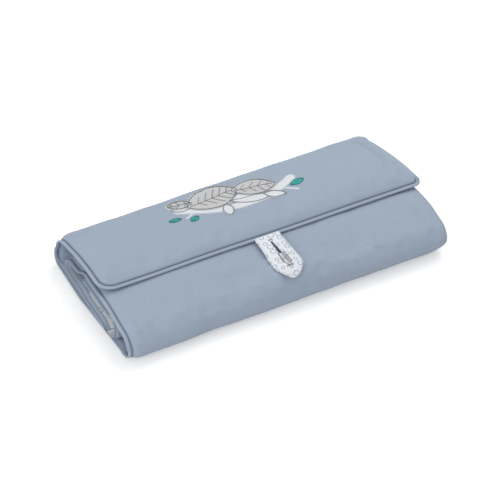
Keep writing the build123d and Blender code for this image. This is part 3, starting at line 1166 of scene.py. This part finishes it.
branchShape = bandOutline(branchRun, 13)
twigShapes = [bandOutline(run, 3) for run in twigRuns]
margins = [leafOutline(spot, 2.0) for spot in largeLeaves]
leafShapes = [leafOutline(spot) for spot in largeLeaves]
paleShapes = [leafOutline(spot) for spot in paleLeaves]
underShapes = [leafOutline(spot) for spot in underLeaves]
greenShapes = [leafOutline(spot) for spot in smallLeaves]
for name, shapes, height, felt, flat, node in (
        ("branchPatch", [branchShape], "branch", whiteFelt, (0.155, 0.045), "branch_patch"),
        ("twigPatches", twigShapes, "branch", whiteFelt, (0.02, 0.012), "twig_patches"),
        ("leafMargins", margins, "margin", whiteFelt, (0.13, 0.046), None),
        ("greyLeaves", leafShapes, "leaf", greyFelt, (0.13, 0.042), "grey_leaf_patches"),
        ("paleLeaves", paleShapes, "pale", whiteFelt, (0.06, 0.024), "pale_leaf_patches"),
        ("greenLeaves", greenShapes, "branch", greenFelt, (0.05, 0.011), "green_leaf_patches"),
        ("underLeaves", underShapes, "under", whiteFelt, (0.11, 0.03), None)):
    patch = patchPiece(name, shapes, patchHeights[height], felt)
    if node:
        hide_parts(node)

outlineLook = {"pitch": 1.9, "length": 2.5, "thick": 0.85, "slant": 0.25}
fineLook = {"pitch": 1.7, "length": 2.2, "thick": 0.6, "slant": 0.2}
outlineRows = []
for height, shapes in (("leaf", leafShapes), ("pale", paleShapes), ("under", underShapes)):
    outlineRows += [onPatch(o, patchHeights[height] + 0.1, 0.5) for o in shapes]
outlineRows += veinRows(underLeaves[0], patchHeights["under"] + 0.1, 4)[:1]
for spot, count in zip(largeLeaves, (5, 4, 3)):
    outlineRows += veinRows(spot, patchHeights["leaf"] + 0.1, count)
darkRows = sewRows("leafOutlines", outlineRows, outlineLook, outlineThread)
paleRows = sewRows("branchOutlines", [onPatch(branchShape, patchHeights["branch"] + 0.05, 0.8)]
                   + [onPatch(o, patchHeights["margin"] + 0.05, 0.7) for o in margins],
                   fineLook, paleThread)
greenRows = sewRows("greenOutlines", [onPatch(o, patchHeights["branch"] + 0.1, 0.4) for o in greenShapes]
                    + [veinRows(spot, patchHeights["branch"] + 0.1, 0)[0] for spot in smallLeaves],
                    fineLook, greenThread)
for row in (darkRows, paleRows, greenRows):
    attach(row, "flap")
print("patches sewn on")


# Closing loop: a doubled tape with a slit, sewn under the flap's edge and laid over the button
loop = {
    "middle": buttonMid[0], "halfWidth": 16.0, "swell": 1.5, "thick": 1.6,
    "tip": 15.5, "slitStart": 10.5, "slitEnd": 55.5, "slitNarrow": 0.75, "slitWide": 3.2,
    "length": 73.0, "droop": 2.6, "rootDrop": 5.2, "tipRound": 0.5,
    "swellAt": 46,          # the tapes stand furthest apart over the button
    "tipLeast": 0.6,        # half width at the very tip
    "edgeRound": 0.8,
    "rowInset": 2,          # the row of stitches along the edge
    "tipInset": 3.2,
    "sideStitch": (0.5, 2.3),     # near and far side of the zigzag beside the slit
    "endStitch": (1.2, 3.4),
    "startStitch": (0.8, 2.4),
    "creaseFrom": (-0.0255, 0.0508),    # a place near the loop's root, y and z in metres
    "creaseTo": (-0.0325, 0.0500),      # a place a little further forward, y and z in metres
}


def loopLine():
    # the tape's middle line: over the flap's edge, down on the button, round the front fold
    root = flapTop - loop["rootDrop"]
    over = buttonTop + 1.3
    radius = over - frontRadius
    points = [(-23.6, root), (-27.0, root - 0.3), (-31.0, root - 0.8)]
    points += [(y, root - 0.8 + (over - root + 0.8) * smooth((-33 - y) / 21)) for y in (-38, -43, -48, -54)]
    points += [(y, over) for y in (-60, -66, -72, frontY)]
    for i in range(1, 9):
        angle = math.radians(6.0 * i)
        r = radius - 2.6 * smooth(i / 8)
        points.append((frontY - r * math.sin(angle), frontRadius + r * math.cos(angle)))
    return np.array(points, float)


def buildLoop():
    line = loopLine()
    along = np.concatenate([[0], np.cumsum(np.linalg.norm(np.diff(line, axis=0), axis=1))])
    total = loop["length"]
    ends = [0, 0.3, 0.8, 1.6]
    rows = np.array(ends + list(np.arange(3.0, total - 2, 1.5)) + [total - e for e in reversed(ends)])
    near = [0, 0.06, 0.14, 0.28, 0.5, 0.72, 0.86, 0.94, 1.0]
    faceRows = []

    def widthAt(s):
        reach = loop["halfWidth"] + loop["swell"] * bell((s - loop["swellAt"]) / 16)
        toTip = total - s
        if toTip < loop["tip"]:
            least = loop["tipLeast"]
            reach = least + (reach - least) * min(1, (toTip / loop["tip"])) ** loop["tipRound"]
        return reach

    def slitAt(s):
        if s <= loop["slitStart"] or s >= loop["slitEnd"]:
            return 0.0
        t = (s - loop["slitStart"]) / (loop["slitEnd"] - loop["slitStart"])
        return (loop["slitNarrow"] + (loop["slitWide"] - loop["slitNarrow"]) * t) * min(
            1, (1 - t) * 12 + 0.2, t * 20 + 0.3)

    def point(s, x, lift):
        y = np.interp(s, along, line[:, 0])
        z = np.interp(s, along, line[:, 1])
        ahead, behind = min(s + 1, along[-1]), max(s - 1, 0)
        ty = np.interp(ahead, along, line[:, 0]) - np.interp(behind, along, line[:, 0])
        tz = np.interp(ahead, along, line[:, 1]) - np.interp(behind, along, line[:, 1])
        size = math.hypot(ty, tz)
        ny, nz = tz / size, -ty / size
        onPad = smooth((s - 14) / 20)
        droop = loop["droop"] * onPad * smooth((abs(x) - 7) / 12) * (1.15 if x < 0 else 0.8)
        wave = 0.35 * math.sin(s / 6.5 + x / 9) * onPad + 0.22 * math.sin(s / 2.7 - x / 5) * onPad
        rise = lift - droop + wave
        return (loop["middle"] + x, y + ny * rise, z + nz * rise)

    points, uv = [], []
    for side in (-1, 1):
        for face in (1, -1):
            ids = []
            for s in rows:
                wide, slit = widthAt(s), slitAt(s)
                row = []
                for t in near:
                    x = side * (slit + (wide - slit) * (1 - t))
                    away = min(wide - abs(x), s, total - s)
                    if slit > 0:
                        away = min(away, abs(x) - slit)
                    share = min(1, max(away, 0) / loop["edgeRound"])
                    thin = loop["thick"] / 2 * math.sqrt(1 - (1 - share) ** 2)
                    row.append(len(points))
                    points.append(point(s, x, face * thin))
                    uv.append((x, s))
                ids.append(row)
            for a, b in zip(ids, ids[1:]):
                for i in range(len(near) - 1):
                    ring = (a[i], a[i + 1], b[i + 1], b[i])
                    faceRows.append(ring if side * face < 0 else ring[::-1])
    piece = meshObject("closingLoop", points, faceRows, [loopCloth], np.array(uv))
    work = bmesh.new()
    work.from_mesh(piece.data)
    bmesh.ops.remove_doubles(work, verts=work.verts, dist=1e-6)
    bmesh.ops.dissolve_degenerate(work, edges=work.edges, dist=1e-6)
    bmesh.ops.holes_fill(work, edges=work.edges, sides=4)
    bmesh.ops.recalc_face_normals(work, faces=work.faces)
    work.to_mesh(piece.data)
    work.free()

    def on(s, x):
        return point(s, x, loop["thick"] / 2 + 0.12)

    inset = loop["rowInset"]
    edgeRow = [on(s, -(widthAt(s) - inset)) for s in np.arange(1.5, total - 4, 1.5)]
    edgeRow += [on(total - loop["tipInset"], x) for x in (-2, 0, 2)]
    edgeRow += [on(s, widthAt(s) - inset) for s in np.arange(total - 4, 1.5, -1.5)]
    zigzag = []
    for side in (-1, 1):
        row = []
        for k, s in enumerate(np.arange(loop["slitStart"] + 24, loop["slitEnd"] + 3, 0.9)):
            row.append(on(s, side * (slitAt(s) + loop["sideStitch"][1 - k % 2])))
        zigzag.append(row)
    zigzag.append([on(loop["slitEnd"] + loop["endStitch"][1 - k % 2], x)
                   for k, x in enumerate(np.arange(-4.5, 4.6, 0.8))])
    zigzag.append([on(loop["slitStart"] - loop["startStitch"][1 - k % 2], x)
                   for k, x in enumerate(np.arange(-2.4, 2.5, 0.8))])
    return piece, [edgeRow], zigzag


loopPiece, loopEdge, loopZigzag = buildLoop()
loopThread = makeThread("loopThread", srgb(150, 154, 160))
edgeStitches = sewRows("loopStitches", loopEdge, {"pitch": 2.9, "length": 2.2, "thick": 0.45}, paleThread)
slitStitches = sewRows("slitStitches", loopZigzag, {"pitch": 0.95, "length": 1.9, "thick": 0.42},
                       loopThread)
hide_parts("loop_sewn_end", "loop_crease", "loop_left_leg", "loop_right_leg", "loop_tip")
for piece in (loopPiece, edgeStitches, slitStitches):
    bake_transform(piece)
print("loop made")


# The button and its thread keep their CAD shapes and get their finish here


def makeButtonPlastic():
    material, tree, shader = principled("buttonPlastic", 0.28)
    place = tree.nodes.new("ShaderNodeTexCoord").outputs["Object"]
    swirl = noiseOn(tree, place, 120.0, 3.0, 1.6)
    pearl = mixColour(tree, swirl, srgb(206, 212, 220), srgb(244, 246, 248))
    tree.links.new(pearl, shader.inputs["Base Color"])
    tree.links.new(mathNode(tree, "MULTIPLY_ADD", swirl, 0.12, 0.22), shader.inputs["Roughness"])
    reliefInto(tree, shader, swirl, 0.15, 0.0001)
    return material


def refinish(node, material):
    for slot in bpy.data.objects[node].material_slots:
        slot.material = material


refinish("button", makeButtonPlastic())
refinish("button_thread", paleThread)
print("button finished")


# Floor, light and camera
stage = {"floorColour": srgb(238, 238, 238), "glow": 0.34, "keyPower": 15.0, "fillPower": 12.0,
         "ambient": 0.60}


def seenDirectly(tree, path):
    # also by way of a glossy or clear surface
    mirrored = mathNode(tree, "MAXIMUM", path.outputs["Is Glossy Ray"], path.outputs["Is Transmission Ray"])
    return mathNode(tree, "MAXIMUM", path.outputs["Is Camera Ray"], mirrored)


def whiteForCamera(tree, base, strength):
    # what the camera sees gets some plain light of its own
    path = tree.nodes.new("ShaderNodeLightPath")
    glow = tree.nodes.new("ShaderNodeEmission")
    tree.links.new(mathNode(tree, "MULTIPLY", seenDirectly(tree, path), strength),
                   glow.inputs["Strength"])
    add = tree.nodes.new("ShaderNodeAddShader")
    tree.links.new(base, add.inputs[0])
    tree.links.new(glow.outputs[0], add.inputs[1])
    return add.outputs[0]


def buildStage():
    bpy.ops.mesh.primitive_plane_add(size=12, location=(0, 0, -0.0006))
    floor = bpy.context.object
    floor.name = "studioFloor"
    material = bpy.data.materials.new("studioFloor")
    material.use_nodes = True
    tree = material.node_tree
    tree.nodes.clear()
    diffuse = tree.nodes.new("ShaderNodeBsdfDiffuse")
    diffuse.inputs["Color"].default_value = stage["floorColour"]
    out = tree.nodes.new("ShaderNodeOutputMaterial")
    tree.links.new(whiteForCamera(tree, diffuse.outputs[0], stage["glow"]), out.inputs["Surface"])
    floor.data.materials.append(material)
    world = bpy.data.worlds.new("studio")
    bpy.context.scene.world = world
    world.use_nodes = True
    tree = world.node_tree
    path = tree.nodes.new("ShaderNodeLightPath")
    background = tree.nodes["Background"]
    background.inputs["Color"].default_value = (1, 1, 1, 1)
    strength = mathNode(tree, "MULTIPLY_ADD", seenDirectly(tree, path),
                        1 - stage["ambient"], stage["ambient"])
    tree.links.new(strength, background.inputs["Strength"])


def addLamp(name, place, target, size, power):
    data = bpy.data.lights.new(name, "AREA")
    data.shape = "RECTANGLE"
    data.size, data.size_y = size
    data.energy = power
    lamp = bpy.data.objects.new(name, data)
    bpy.context.scene.collection.objects.link(lamp)
    lamp.location = place
    aim = Vector(target) - Vector(place)
    lamp.rotation_euler = aim.to_track_quat("-Z", "Y").to_euler()


view = {"azimuth": -27.2, "elevation": 41.7, "distance": 2.46, "target": (-0.0058, 0.0, 0.0092),
        "lens": 153.9}


def addCamera():
    azimuth, elevation = math.radians(view["azimuth"]), math.radians(view["elevation"])
    target = Vector(view["target"])
    back = Vector((math.sin(azimuth) * math.cos(elevation),
                   -math.cos(azimuth) * math.cos(elevation), math.sin(elevation)))
    data = bpy.data.cameras.new("camera")
    data.lens = view["lens"]
    data.sensor_width = 36.0
    camera = bpy.data.objects.new("camera", data)
    bpy.context.scene.collection.objects.link(camera)
    camera.location = target + back * view["distance"]
    camera.rotation_euler = (-back).to_track_quat("-Z", "Y").to_euler()
    bpy.context.scene.camera = camera


buildStage()
addLamp("keyLight", (0.9, 0.7, 1.6), (0, 0, 0), (1.4, 1.4), stage["keyPower"])
addLamp("fillLight", (-1.7, -0.6, 0.75), (0, 0, 0), (1.2, 1.2), stage["fillPower"])
addCamera()
bpy.context.scene.view_settings.view_transform = "Standard"
print("stage set")
